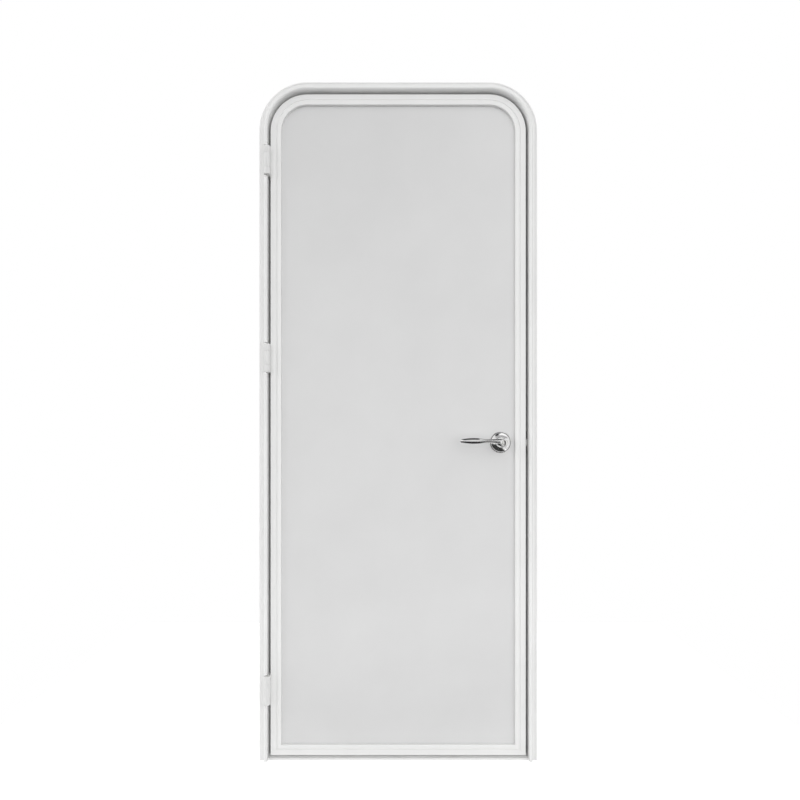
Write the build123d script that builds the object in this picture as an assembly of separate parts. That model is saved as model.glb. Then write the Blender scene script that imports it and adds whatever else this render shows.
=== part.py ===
from build123d import *
import math
import os

# Caravan entry door in its wall frame, closed.
# X runs to the right as seen from outside, Y runs into the caravan, Z is up.
# The wall plane is y = 0, the jambs end at z = 0 and the door is centred on x = 0.

# Wall frame, overall
frame_width = 750
frame_height = 1830

# Jamb section: wall flange, hollow nose, web and stop
flange_width = 13
flange_thickness = 2
flange_lip_width = 3.5
flange_lip_rise = 1.2
nose_width = 10
nose_depth = 12
nose_wall = 1.6
nose_round = 4
jamb_wall = 2
jamb_depth = 52
stop_reach = 15

# Screw holes through the webs, behind the stop
screw_hole_radius = 2.4
screw_hole_inset = 6
jamb_screw_count = 4
jamb_screw_foot = 150
jamb_screw_drop = 180
head_screw_offset = 200

# Leaf in the frame
leaf_gap = 6.5
leaf_recess = 2
leaf_thickness = 30
leaf_corner_radius = 100

# Sill between the jambs
sill_height = 5
sill_wall = 2
sill_clearance = 6
sill_upstand = 14
sill_rib_width = 2
sill_rib_rise = 0.8
sill_rib_pitch = 8
sill_rib_count = 3

# Hollow D seal on the stop and on the sill upstand
seal_space = 6
seal_width = 10
seal_wall = 1.2
seal_edge = 1
seal_bevel = 3
seal_clearance = 0.3

# Leaf edge section: tube, front band, groove, raised bead and rear lip
edge_wall = 2
band_width = 16
groove_width = 1.5
groove_depth = 1
bead_width = 11.5
bead_rise = 2
bead_wall = 1.6
bead_bevel = 1.8
edge_bevel = 0.8
tube_width = 14
rear_lip_width = 27
panel_setback = 6
panel_edge_clearance = 0.5
skin_thickness = 1.2

# Hinges, upper to lower
hinge_names = ["upper", "middle", "lower"]
upper_hinge_drop = 214
middle_hinge_drop = 745
lower_hinge_height = 193
hinge_length = 76
hinge_barrel_radius = 9
hinge_pin_radius = 4
hinge_pin_clearance = 0.05
hinge_pin_proud = 2.5
hinge_axis_forward = 10.5
hinge_plate = 2.5
hinge_plate_depth = 28
hinge_middle_knuckle = 38
hinge_knuckle_gap = 0.5
hinge_relief = 0.6
hinge_notch_gap = 1.5

# Lock set
lock_height = 858
lock_backset = 68
cross_bore_radius = 25
rose_radius = 29
rose_depth = 10
rose_rim = 2.5
rose_shoulder_radius = 24.5
rose_shoulder_depth = 7
rose_collar_radius = 14
shank_radius = 9
shank_clearance = 0.1
shank_start = 1.5
spindle_width = 8
spindle_depth = 14
hub_radius = 11.5
hub_projection = 70
hub_bevel = 1.5
hub_rose_gap = 0.6

# Lever blade, measured from the lock axis along the lever
lever_root_at = 3
lever_root_half = 6
lever_neck_at = 43
lever_neck_half = 3.8
lever_blade_at = 80
lever_blade_half = 7
lever_tip_at = 112.6
lever_tip_half = 3
lever_thickness = 7.6
lever_bevel = 2
lever_rise = 5.5
lever_setback = 11
lever_lean = 4.5

# Key plug in the outer hub, turn button in the inner hub
plug_radius = 6.75
plug_clearance = 0.1
plug_depth = 22
plug_proud = 0.6
plug_bevel = 0.4
keyway_width = 2.2
keyway_height = 8.5
keyway_depth = 8
button_radius = 6.5
button_depth = 6
button_proud = 1
button_grip_width = 3.5
button_grip_length = 11
button_grip_height = 5
button_grip_round = 1.2

# Tubular latch, its faceplate and the strike plate
latch_case_radius = 7.4
latch_case_tail = 14
latch_case_clearance = 0.1
latch_spindle_hole_radius = 6.2
latch_bolt_width = 8
latch_bolt_height = 10
latch_bolt_edge = 1
latch_bolt_clearance = 0.1
latch_bolt_depth = 20
latch_bolt_proud = 1.5
faceplate_width = 19
faceplate_height = 57
faceplate_round = 3
strike_thickness = 1.2
strike_width = 24
strike_height = 60
strike_round = 3
strike_hole_width = 13
strike_hole_height = 18

# Derived places
border = flange_width + nose_width + leaf_gap
leaf_half = frame_width / 2 - border
leaf_top = frame_height - border
leaf_bottom = sill_height + sill_clearance
leaf_back = leaf_recess + leaf_thickness
stop_front = leaf_back + seal_space
stop_back = stop_front + jamb_wall
stop_edge = leaf_gap - stop_reach
web_half = leaf_half + leaf_gap
corner_x = leaf_half - leaf_corner_radius
corner_z = leaf_top - leaf_corner_radius
skin_front = leaf_recess + panel_setback
skin_back = leaf_back - panel_setback
panel_middle = (skin_front + skin_back) / 2
bead_start = band_width + groove_width
bead_end = bead_start + bead_width
lock_x = leaf_half - lock_backset
hinge_heights = [frame_height - upper_hinge_drop, frame_height - middle_hinge_drop, lower_hinge_height]
hinge_x = -web_half
hinge_y = -hinge_axis_forward

os.makedirs("parts", exist_ok=True)


def save(name, shape):
    """Write one piece as its own file."""
    export_step(shape, f"parts/{name}.step")


def bar(u_low, u_high, v_low, v_high):
    """Rectangle of a section, between two corners."""
    return Pos((u_low + u_high) / 2, (v_low + v_high) / 2) * Rectangle(u_high - u_low, v_high - v_low)


def rounded(section, radius, *corners):
    """Round the corners of a section that lie at the given points."""
    picked = [section.vertices().sort_by_distance((u, v, 0))[0] for u, v in corners]
    return fillet(picked, radius)


def bevelled(section, length, *corners):
    """Cut the corners of a section that lie at the given points."""
    picked = [section.vertices().sort_by_distance((u, v, 0))[0] for u, v in corners]
    return chamfer(picked, length)


def block(x_low, x_high, y_low, y_high, z_low, z_high):
    """Box between two corners."""
    centre = Pos((x_low + x_high) / 2, (y_low + y_high) / 2, (z_low + z_high) / 2)
    return centre * Box(x_high - x_low, y_high - y_low, z_high - z_low)


def rod_x(radius, x_low, x_high, y, z):
    """Cylinder along X."""
    return Pos((x_low + x_high) / 2, y, z) * Rot(0, 90, 0) * Cylinder(radius, x_high - x_low)


def rod_y(radius, x, y_low, y_high, z):
    """Cylinder along Y."""
    return Pos(x, (y_low + y_high) / 2, z) * Rot(90, 0, 0) * Cylinder(radius, y_high - y_low)


def rod_z(radius, x, y, z_low, z_high):
    """Cylinder along Z."""
    return Pos(x, y, (z_low + z_high) / 2) * Cylinder(radius, z_high - z_low)


def hoop(section, foot):
    """Run a section up the left side, over the top with bent corners and down the right side.

    In the section, u runs outward from the leaf's edge and v inward from the wall plane.
    """
    jamb_plane = Plane(origin=(-leaf_half, 0, foot), x_dir=(-1, 0, 0), z_dir=(0, 0, -1))
    bend_plane = Plane(origin=(-leaf_half, 0, corner_z), x_dir=(-1, 0, 0), z_dir=(0, 0, -1))
    head_plane = Plane(origin=(-corner_x, 0, leaf_top), x_dir=(0, 0, 1), z_dir=(-1, 0, 0))
    jamb = extrude(jamb_plane * section, amount=corner_z - foot, dir=(0, 0, 1))
    bend = revolve(bend_plane * section, Axis((-corner_x, 0, corner_z), (0, 1, 0)), 90)
    head = extrude(head_plane * section, amount=corner_x, dir=(1, 0, 0))
    half = jamb + bend + head
    return half + mirror(half, Plane.YZ)


def leaf_sheet(inset, y_low, y_high):
    """Flat sheet with the leaf's outline drawn in by an inset: round top corners, square foot."""
    width = 2 * (leaf_half - inset)
    height = leaf_top - leaf_bottom - 2 * inset
    plane = Plane(origin=(0, y_low, (leaf_top + leaf_bottom) / 2), x_dir=(1, 0, 0), z_dir=(0, -1, 0))
    outline = rounded(
        Rectangle(width, height),
        leaf_corner_radius - inset,
        (-width / 2, height / 2),
        (width / 2, height / 2),
    )
    return extrude(plane * outline, amount=y_high - y_low, dir=(0, 1, 0))


def along_x(section, x_low, x_high):
    """Extrude a section drawn in Y and Z along X."""
    plane = Plane(origin=(x_low, 0, 0), x_dir=(0, 1, 0), z_dir=(1, 0, 0))
    return extrude(plane * section, amount=x_high - x_low)


def edge_plate(x_low, x_high, width, height, radius):
    """Plate with round corners that stands on the lock's height in the plane of a leaf edge."""
    outline = Pos(panel_middle, lock_height) * RectangleRounded(width, height, radius)
    return along_x(outline, x_low, x_high)


# Jamb hoop: one aluminium extrusion, bent at the two top corners
nose_in = leaf_gap
nose_out = leaf_gap + nose_width
flange_out = nose_out + flange_width
nose = rounded(
    bar(nose_in, nose_out, -nose_depth, 0),
    nose_round,
    (nose_in, -nose_depth),
    (nose_out, -nose_depth),
)
hollow_in = nose_in + nose_wall
hollow_out = nose_out - nose_wall
hollow_front = nose_wall - nose_depth
nose_hollow = bevelled(
    bar(hollow_in, hollow_out, hollow_front, -flange_thickness),
    nose_wall,
    (hollow_in, hollow_front),
    (hollow_out, hollow_front),
)
flange = bar(nose_out, flange_out, -flange_thickness, 0)
flange_lip = bevelled(
    bar(flange_out - flange_lip_width, flange_out, -flange_thickness - flange_lip_rise, 0),
    flange_lip_rise,
    (flange_out - flange_lip_width, -flange_thickness - flange_lip_rise),
    (flange_out, -flange_thickness - flange_lip_rise),
)
web = bar(leaf_gap, leaf_gap + jamb_wall, -flange_thickness, jamb_depth)
stop = bar(stop_edge, leaf_gap, stop_front, stop_back)
jamb_section = nose + flange + flange_lip + web + stop - nose_hollow
jamb_hoop = hoop(jamb_section, 0)

# Notches through the nose, one for each hinge barrel
notch_half = hinge_length / 2 + hinge_pin_proud + hinge_notch_gap
for height in hinge_heights:
    low = height - notch_half
    high = height + notch_half
    jamb_hoop -= block(-leaf_half - nose_out, -leaf_half, -2 * nose_depth, 0, low, high)

# Screw holes through the webs, and the latch opening in the right web
screw_y = jamb_depth - screw_hole_inset
screw_pitch = (frame_height - jamb_screw_drop - jamb_screw_foot) / (jamb_screw_count - 1)
for index in range(jamb_screw_count):
    height = jamb_screw_foot + index * screw_pitch
    for side in (-1, 1):
        web_middle = side * (web_half + jamb_wall / 2)
        jamb_hoop -= rod_x(screw_hole_radius, web_middle - jamb_wall, web_middle + jamb_wall, screw_y, height)
head_web = leaf_top + leaf_gap + jamb_wall / 2
for side in (-1, 1):
    x = side * head_screw_offset
    jamb_hoop -= rod_z(screw_hole_radius, x, screw_y, head_web - jamb_wall, head_web + jamb_wall)
latch_opening = block(
    web_half - jamb_wall,
    web_half + 2 * jamb_wall,
    panel_middle - strike_hole_width / 2,
    panel_middle + strike_hole_width / 2,
    lock_height - strike_hole_height / 2,
    lock_height + strike_hole_height / 2,
)
jamb_hoop -= latch_opening
save("jamb_hoop", jamb_hoop)

# Sill: apron on the wall plane, tread with ribs, upstand behind the leaf and a rear leg
upstand_top = sill_height + sill_upstand
sill_section = bar(-flange_thickness, 0, 0, sill_height)
sill_section += bar(-flange_thickness, jamb_depth, sill_height - sill_wall, sill_height)
sill_section += bar(stop_front, stop_back, sill_height - sill_wall, upstand_top)
sill_section += bar(jamb_depth - sill_wall, jamb_depth, 0, sill_height)
for index in range(sill_rib_count):
    rib = leaf_recess + sill_rib_pitch * (index + 0.5)
    sill_section += bar(rib, rib + sill_rib_width, sill_height, sill_height + sill_rib_rise)
sill = along_x(sill_section, -web_half, web_half)
for side in (-1, 1):
    ends = sorted((side * (leaf_half + stop_edge), side * (web_half + jamb_wall)))
    sill -= block(*ends, stop_front, jamb_depth + sill_wall, -sill_height, 2 * upstand_top)
save("sill", sill)


# Seals: a hollow D of rubber, flat on the stop and clear of the leaf's back
def seal_section(u_low):
    """Hollow D whose flat back lies on the stop."""
    crown = leaf_back + seal_clearance
    u_high = u_low + seal_width
    hollow_low = u_low + seal_wall
    hollow_high = u_high - seal_wall
    hollow_crown = crown + seal_wall
    outer = bar(u_low, u_high, crown, stop_front)
    outer = bevelled(outer, seal_bevel, (u_low, crown), (u_high, crown))
    hollow = bar(hollow_low, hollow_high, hollow_crown, stop_front - seal_wall)
    hollow = bevelled(
        hollow, seal_bevel - seal_wall / 2, (hollow_low, hollow_crown), (hollow_high, hollow_crown)
    )
    return outer - hollow


jamb_seal = hoop(seal_section(stop_edge + seal_edge), sill_height)
save("jamb_seal", jamb_seal)
sill_seal_half = leaf_half + stop_edge + seal_edge
sill_seal_plane = Plane(origin=(0, 0, upstand_top - seal_edge), x_dir=(0, 0, -1), z_dir=(1, 0, 0))
sill_seal = extrude(sill_seal_plane * seal_section(0), amount=sill_seal_half, both=True)
save("sill_seal", sill_seal)

# Strike plate on the right web, round the latch opening
strike = edge_plate(web_half - strike_thickness, web_half, strike_width, strike_height, strike_round)
save("strike_plate", strike - latch_opening)

# Leaf edge frame: one aluminium extrusion, bent at the top corners, mitred at the foot
band_back = leaf_recess + edge_wall
edge_section = bevelled(
    bar(-tube_width, 0, leaf_recess, leaf_back),
    edge_bevel,
    (0, leaf_recess),
    (0, leaf_back),
)
edge_section -= bar(edge_wall - tube_width, -edge_wall, band_back, leaf_back - edge_wall)
edge_section += bar(-bead_start - bead_wall, -tube_width, leaf_recess, band_back)
edge_section -= bar(-bead_start, -band_width, leaf_recess, leaf_recess + groove_depth)
bead_crest = leaf_recess - bead_rise
bead = bevelled(
    bar(-bead_end, -bead_start, bead_crest, skin_front),
    bead_bevel,
    (-bead_end, bead_crest),
    (-bead_start, bead_crest),
)
bead_hollow = bar(bead_wall - bead_end, -bead_start - bead_wall, bead_crest + bead_wall, skin_front)
edge_section += bead - bead_hollow
edge_section += bar(-rear_lip_width, -tube_width, leaf_back - edge_wall, leaf_back)
edge_section += bevelled(
    bar(-rear_lip_width, edge_wall - rear_lip_width, skin_back, leaf_back),
    edge_bevel,
    (-rear_lip_width, leaf_back),
)
mitre = extrude(
    Plane.XZ
    * make_face(
        Polyline(
            (-leaf_half, leaf_bottom),
            (leaf_half, leaf_bottom),
            (leaf_half - 2 * bead_end, leaf_bottom + 2 * bead_end),
            (2 * bead_end - leaf_half, leaf_bottom + 2 * bead_end),
            close=True,
        )
    ),
    amount=2 * leaf_back,
    both=True,
)
rail_plane = Plane(origin=(-leaf_half, 0, leaf_bottom), x_dir=(0, 0, -1), z_dir=(1, 0, 0))
leaf_edge_frame = hoop(edge_section, leaf_bottom) - mitre
leaf_bottom_rail = extrude(rail_plane * edge_section, amount=2 * leaf_half) & mitre

# Latch window in the outer wall, latch bore through the tube
latch_front = leaf_half - edge_wall
latch_window = edge_plate(latch_front, leaf_half, faceplate_width, faceplate_height, faceplate_round)
latch_tail = lock_x - latch_case_tail
latch_bore_radius = latch_case_radius + latch_case_clearance
latch_bore = rod_x(latch_bore_radius, latch_tail, latch_front, panel_middle, lock_height)
leaf_edge_frame -= latch_window + latch_bore
save("leaf_edge_frame", leaf_edge_frame)
save("leaf_bottom_rail", leaf_bottom_rail)

# Sandwich panel: two aluminium skins on a foam core, bored for the lock set
panel_inset = tube_width + panel_edge_clearance
cross_bore = rod_y(cross_bore_radius, lock_x, skin_front - rose_depth, skin_back + rose_depth, lock_height)
save("outer_skin", leaf_sheet(panel_inset, skin_front, skin_front + skin_thickness) - cross_bore)
save("inner_skin", leaf_sheet(panel_inset, skin_back - skin_thickness, skin_back) - cross_bore)
core = leaf_sheet(panel_inset, skin_front + skin_thickness, skin_back - skin_thickness)
save("foam_core", core - cross_bore - latch_bore)

# Hinges: the jamb half has two knuckles, the leaf half has the middle one
for name, height in zip(hinge_names, hinge_heights):
    low = height - hinge_length / 2
    high = height + hinge_length / 2
    middle_low = height - hinge_middle_knuckle / 2
    middle_high = height + hinge_middle_knuckle / 2
    barrel = rod_z(hinge_barrel_radius, hinge_x, hinge_y, low, high)
    bore = rod_z(hinge_pin_radius + hinge_pin_clearance, hinge_x, hinge_y, low, high)
    relief_y = hinge_y + hinge_barrel_radius + hinge_relief
    plate = bar(hinge_y, hinge_plate_depth, low, high)
    space_low = middle_low - hinge_knuckle_gap
    space_high = middle_high + hinge_knuckle_gap
    middle_notch = bar(hinge_y, relief_y, space_low, space_high)
    end_notches = bar(hinge_y, relief_y, low, middle_low) + bar(hinge_y, relief_y, middle_high, high)
    jamb_plate = along_x(plate - middle_notch, hinge_x, hinge_x + hinge_plate)
    leaf_plate = along_x(plate - end_notches, -leaf_half - hinge_plate, -leaf_half)
    middle_space = rod_z(hinge_barrel_radius, hinge_x, hinge_y, space_low, space_high)
    middle_barrel = rod_z(hinge_barrel_radius, hinge_x, hinge_y, middle_low, middle_high)
    pin = rod_z(hinge_pin_radius, hinge_x, hinge_y, low - hinge_pin_proud, high + hinge_pin_proud)
    save(f"{name}_hinge_jamb_half", jamb_plate + barrel - middle_space - bore)
    save(f"{name}_hinge_leaf_half", leaf_plate + middle_barrel - bore)
    save(f"{name}_hinge_pin", pin)


# Lock set, outer side first: lengths run outward from the outer skin
def turned(*points):
    """Revolve a half profile of radius and projection about the lock axis, on the outer skin."""
    plane = Plane(origin=(lock_x, skin_front, lock_height), x_dir=(1, 0, 0), z_dir=(0, 0, -1))
    profile = plane * make_face(Polyline(*points, close=True))
    return revolve(profile, Axis((lock_x, skin_front, lock_height), (0, 1, 0)), 360)


inner_side = Plane(origin=(0, panel_middle, 0), z_dir=(0, 1, 0))
rose_bore_radius = shank_radius + shank_clearance
outer_rose = turned(
    (rose_bore_radius, 0),
    (rose_radius, 0),
    (rose_radius, rose_rim),
    (rose_shoulder_radius, rose_shoulder_depth),
    (rose_collar_radius, rose_depth),
    (rose_bore_radius, rose_depth),
)
save("outer_rose", outer_rose)
save("inner_rose", mirror(outer_rose, inner_side))

hub_foot = rose_depth + hub_rose_gap
hub = turned(
    (0, shank_start),
    (shank_radius, shank_start),
    (shank_radius, hub_foot),
    (hub_radius, hub_foot),
    (hub_radius, hub_projection - hub_bevel),
    (hub_radius - hub_bevel, hub_projection),
    (0, hub_projection),
)


def swell(near, far):
    """Two arcs from one point of the lever's edge to another, level with the lever at both."""
    middle = ((near[0] + far[0]) / 2, (near[1] + far[1]) / 2)
    return TangentArc(near, middle, tangent=(1, 0)) + TangentArc(far, middle, tangent=(-1, 0))


# Lever: a flat bar that narrows to a neck and swells to a leaf-shaped blade, leaning back to the leaf
root_edge = (lever_root_at, lever_root_half)
neck_edge = (lever_neck_at, lever_neck_half)
blade_edge = (lever_blade_at, lever_blade_half)
tip_edge = (lever_tip_at, lever_tip_half)
taper_arc = TangentArc(blade_edge, tip_edge, tangent=(1, 0))
upper_edge = swell(root_edge, neck_edge) + swell(neck_edge, blade_edge) + taper_arc
lower_edge = mirror(upper_edge, Plane.XZ)
tip_arc = TangentArc(tip_edge, (lever_tip_at, -lever_tip_half), tangent=taper_arc % 1)
root_line = Line(root_edge, (lever_root_at, -lever_root_half))
lean = math.radians(lever_lean)
lever_plane = Plane(
    origin=(lock_x, skin_front - hub_projection + lever_setback, lock_height + lever_rise),
    x_dir=(-math.cos(lean), math.sin(lean), 0),
    z_dir=(-math.sin(lean), -math.cos(lean), 0),
)
lever_outline = make_face(upper_edge.edges() + tip_arc.edges() + lower_edge.edges() + root_line.edges())
blade = extrude(lever_outline, amount=lever_thickness / 2, both=True)
blade_rims = blade.faces().filter_by(Axis.Z).edges()
blade = lever_plane * chamfer(blade_rims, lever_bevel)
lever = hub + blade
spindle_hole = block(
    lock_x - spindle_width / 2,
    lock_x + spindle_width / 2,
    skin_front - spindle_depth,
    skin_back + spindle_depth,
    lock_height - spindle_width / 2,
    lock_height + spindle_width / 2,
)
hub_face = skin_front - hub_projection
plug_bore = rod_y(plug_radius + plug_clearance, lock_x, hub_face, hub_face + plug_depth, lock_height)
save("outer_lever", lever - spindle_hole - plug_bore)
save("spindle", spindle_hole)

inner_lever = mirror(lever, inner_side)
inner_face = skin_back + hub_projection
button_seat = rod_y(button_radius, lock_x, inner_face - button_depth, inner_face, lock_height)
save("inner_lever", inner_lever - spindle_hole - button_seat)

turn_button = rod_y(button_radius, lock_x, inner_face - button_depth, inner_face + button_proud, lock_height)
grip_plane = Plane(origin=(lock_x, inner_face + button_proud, lock_height), x_dir=(1, 0, 0), z_dir=(0, 1, 0))
turn_button += extrude(
    grip_plane * RectangleRounded(button_grip_width, button_grip_length, button_grip_round),
    amount=button_grip_height,
)
save("turn_button", turn_button)

key_plug = rod_y(plug_radius, lock_x, hub_face - plug_proud, hub_face + plug_depth, lock_height)
key_plug = chamfer(key_plug.edges().sort_by(Axis.Y)[0], plug_bevel)
key_plug -= block(
    lock_x - keyway_width / 2,
    lock_x + keyway_width / 2,
    hub_face - 2 * plug_proud,
    hub_face + keyway_depth,
    lock_height - keyway_height / 2,
    lock_height + keyway_height / 2,
)
save("key_plug", key_plug)

# Tubular latch in the leaf's edge, drawn back so that only the tip of the bolt stands out
latch_case = rod_x(latch_case_radius, latch_tail, latch_front, panel_middle, lock_height)
latch_case -= rod_y(latch_spindle_hole_radius, lock_x, 0, leaf_back, lock_height)
bolt_tail = latch_front - latch_bolt_depth
bolt_tip = leaf_half + latch_bolt_proud
bolt_low = panel_middle - latch_bolt_width / 2
bolt_high = panel_middle + latch_bolt_width / 2
bolt_bore = block(
    bolt_tail,
    leaf_half,
    bolt_low - latch_bolt_clearance,
    bolt_high + latch_bolt_clearance,
    lock_height - latch_bolt_height / 2 - latch_bolt_clearance,
    lock_height + latch_bolt_height / 2 + latch_bolt_clearance,
)
save("latch_case", latch_case - bolt_bore)
save("latch_faceplate", latch_window - bolt_bore)
bolt_slope = latch_bolt_width - latch_bolt_edge
bolt_outline = make_face(
    Polyline(
        (bolt_tail, bolt_low),
        (bolt_tip, bolt_low),
        (bolt_tip, bolt_low + latch_bolt_edge),
        (bolt_tip - bolt_slope, bolt_high),
        (bolt_tail, bolt_high),
        close=True,
    )
)
bolt = extrude(Plane.XY.offset(lock_height) * bolt_outline, amount=latch_bolt_height / 2, both=True)
save("latch_bolt", bolt)
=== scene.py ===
import math

import bmesh
import bpy
from mathutils import Matrix, Vector


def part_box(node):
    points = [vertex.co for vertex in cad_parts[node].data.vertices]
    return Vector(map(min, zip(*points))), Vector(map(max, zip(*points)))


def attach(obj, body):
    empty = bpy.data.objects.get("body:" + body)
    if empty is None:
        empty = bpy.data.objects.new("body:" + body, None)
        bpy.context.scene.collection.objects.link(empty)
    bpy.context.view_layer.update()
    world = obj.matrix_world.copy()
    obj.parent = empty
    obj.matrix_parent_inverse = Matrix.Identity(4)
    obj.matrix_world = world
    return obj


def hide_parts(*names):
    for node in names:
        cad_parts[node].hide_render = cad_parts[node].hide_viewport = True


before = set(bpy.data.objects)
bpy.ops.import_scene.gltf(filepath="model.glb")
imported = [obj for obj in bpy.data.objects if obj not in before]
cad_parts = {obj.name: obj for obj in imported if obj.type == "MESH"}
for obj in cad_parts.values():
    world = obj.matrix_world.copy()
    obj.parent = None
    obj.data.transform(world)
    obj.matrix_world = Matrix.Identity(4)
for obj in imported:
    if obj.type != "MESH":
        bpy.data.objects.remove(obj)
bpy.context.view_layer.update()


# Jamb hoop: one aluminium extrusion with a wall flange, a hollow rounded nose, a web and a stop.
# It is bent round the two top corners, powder coated white, and screwed to the studs behind the stop.
mm = 0.001
leaf_low, leaf_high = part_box("leaf_edge_frame")
leaf_half = leaf_high.x
corner_radius = 100 * mm
above_foot_cut = 60 * mm
corner_x = leaf_half - corner_radius
corner_z = leaf_high.z - corner_radius
bend_steps = 30
smooth_below = math.radians(35)


def softened(*corners):
    """Outline of a section from corners of u, v and radius in millimetres, round ones as arcs."""
    points = []
    for index, (u, v, radius) in enumerate(corners):
        here = Vector((u, v))
        if radius == 0:
            points.append(here * mm)
            continue
        before = (Vector(corners[index - 1][:2]) - here).normalized()
        after = (Vector(corners[(index + 1) % len(corners)][:2]) - here).normalized()
        half_angle = before.angle(after) / 2
        centre = here + (before + after).normalized() * radius / math.sin(half_angle)
        start = here + before * radius / math.tan(half_angle) - centre
        end = here + after * radius / math.tan(half_angle) - centre
        turn = start.angle_signed(end)
        steps = max(2, round(abs(turn) / math.radians(15)))
        for step in range(steps + 1):
            spoke = start.copy()
            spoke.rotate(Matrix.Rotation(-turn * step / steps, 2))
            points.append((centre + spoke) * mm)
    return points


def extruded(outline, places, hollow=None):
    """Worked mesh of an outline skinned along places, each an edge point and an outward direction."""
    mesh = bmesh.new()
    ends = ([], [])
    for loop in (outline, hollow):
        if loop is None:
            continue
        rings = []
        for (x, z), (out_x, out_z) in places:
            rings.append([mesh.verts.new((x + u * out_x, v, z + u * out_z)) for u, v in loop])
        for ring, following in zip(rings, rings[1:]):
            for index in range(len(ring)):
                mesh.faces.new((ring[index - 1], ring[index], following[index], following[index - 1]))
        for end, ring in zip(ends, (rings[0], rings[-1])):
            end += [mesh.edges.get((ring[index - 1], ring[index])) for index in range(len(ring))]
    for end in ends:
        bmesh.ops.triangle_fill(mesh, edges=end, use_beauty=True)
    bmesh.ops.recalc_face_normals(mesh, faces=mesh.faces)
    return mesh


def hoop_places(foot, foot_out):
    """Places up the left side, over the top with two bends of 90 degrees and down the right side."""
    left = [((-leaf_half, foot), (-1, foot_out)), ((-leaf_half, foot + above_foot_cut), (-1, 0))]
    for step in range(bend_steps + 1):
        angle = math.radians(180 - 90 * step / bend_steps)
        out = (math.cos(angle), math.sin(angle))
        left.append(((-corner_x + corner_radius * out[0], corner_z + corner_radius * out[1]), out))
    right = [((-x, z), (-out_x, out_z)) for (x, z), (out_x, out_z) in reversed(left)]
    return left + right


def piece_of(name, mesh):
    """Object from a worked mesh, shaded smooth but for its sharp edges."""
    data = bpy.data.meshes.new(name)
    mesh.to_mesh(data)
    mesh.free()
    data.shade_smooth()
    data.set_sharp_from_angle(angle=smooth_below)
    piece = bpy.data.objects.new(name, data)
    bpy.context.scene.collection.objects.link(piece)
    return piece


def worked(piece, operation, mesh):
    """Cut a worked mesh out of a piece or join it on, and keep the result as the piece's own mesh."""
    tool = piece_of("tool", mesh)
    change = piece.modifiers.new("change", "BOOLEAN")
    change.object = tool
    change.operation = operation
    change.solver = "EXACT"
    baked(piece)
    bpy.data.meshes.remove(tool.data)


def baked(piece):
    """Keep what a piece's modifiers make of it as its own mesh."""
    plain = piece.data
    seen = piece.evaluated_get(bpy.context.evaluated_depsgraph_get())
    piece.data = bpy.data.meshes.new_from_object(seen)
    piece.modifiers.clear()
    bpy.data.meshes.remove(plain)
    piece.data.shade_smooth()
    piece.data.set_sharp_from_angle(angle=smooth_below)


def block(low, high):
    """Worked mesh of a box between two corners."""
    mesh = bmesh.new()
    bmesh.ops.create_cube(mesh, size=1)
    low, high = Vector(low), Vector(high)
    fit = Matrix.Translation((low + high) / 2) @ Matrix.Diagonal((*(high - low), 1))
    bmesh.ops.transform(mesh, matrix=fit, verts=mesh.verts)
    return mesh


def shader(name):
    """New node material: the material, its nodes, its links and its main shader."""
    material = bpy.data.materials.new(name)
    material.use_nodes = True
    tree = material.node_tree
    return material, tree.nodes, tree.links, tree.nodes["Principled BSDF"]


def patchy(nodes, links, scale, low, high, detail=3, stretch=(1, 1, 1)):
    """Noise over a piece, scale in lumps a metre, that runs from low to high; returns its output."""
    place = nodes.new("ShaderNodeTexCoord")
    squeeze = nodes.new("ShaderNodeMapping")
    squeeze.inputs["Scale"].default_value = stretch
    noise = nodes.new("ShaderNodeTexNoise")
    noise.inputs["Scale"].default_value = scale
    noise.inputs["Detail"].default_value = detail
    noise_low, noise_high = 0.3, 0.7
    levels = nodes.new("ShaderNodeMapRange")
    levels.inputs["From Min"].default_value = noise_low
    levels.inputs["From Max"].default_value = noise_high
    levels.inputs["To Min"].default_value = low
    levels.inputs["To Max"].default_value = high
    links.new(place.outputs["Object"], squeeze.inputs["Vector"])
    links.new(squeeze.outputs["Vector"], noise.inputs["Vector"])
    links.new(noise.outputs["Fac"], levels.inputs["Value"])
    return levels.outputs["Result"]


def tinted(nodes, links, share, first, second):
    """Colour that runs from the first to the second as a share goes from 0 to 1; returns its output."""
    mix = nodes.new("ShaderNodeMix")
    mix.data_type = "RGBA"
    mix.inputs[6].default_value = (*first, 1)
    mix.inputs[7].default_value = (*second, 1)
    links.new(share, mix.inputs[0])
    return mix.outputs[2]


def raised(nodes, links, height, depth, below=None):
    """Bump of a depth in metres, over another bump if there is one; returns its output."""
    bump = nodes.new("ShaderNodeBump")
    bump.inputs["Distance"].default_value = depth
    links.new(height, bump.inputs["Height"])
    if below is not None:
        links.new(below, bump.inputs["Normal"])
    return bump.outputs["Normal"]


def white_coat(name, colour, gloss, peel_lumps, peel_depth):
    """Baked white coat: orange peel, a faint cloudiness and a gloss that wanders a little."""
    material, nodes, links, main = shader(name)
    dull = [0.965 * part for part in colour]
    cloud = patchy(nodes, links, 6, 0, 1, detail=6)
    links.new(tinted(nodes, links, cloud, dull, colour), main.inputs["Base Color"])
    links.new(patchy(nodes, links, 50, gloss - 0.04, gloss + 0.05), main.inputs["Roughness"])
    peel = raised(nodes, links, patchy(nodes, links, peel_lumps, 0, 1, detail=1), peel_depth)
    fine = raised(nodes, links, patchy(nodes, links, 6 * peel_lumps, 0, 1), peel_depth / 5, peel)
    links.new(fine, main.inputs["Normal"])
    main.inputs["Coat Weight"].default_value = 0.12
    main.inputs["Coat Roughness"].default_value = 0.18
    return material


frame_white = white_coat(
    "frame_white", (0.85, 0.85, 0.845), gloss=0.36, peel_lumps=420, peel_depth=0.03 * mm
)

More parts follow.
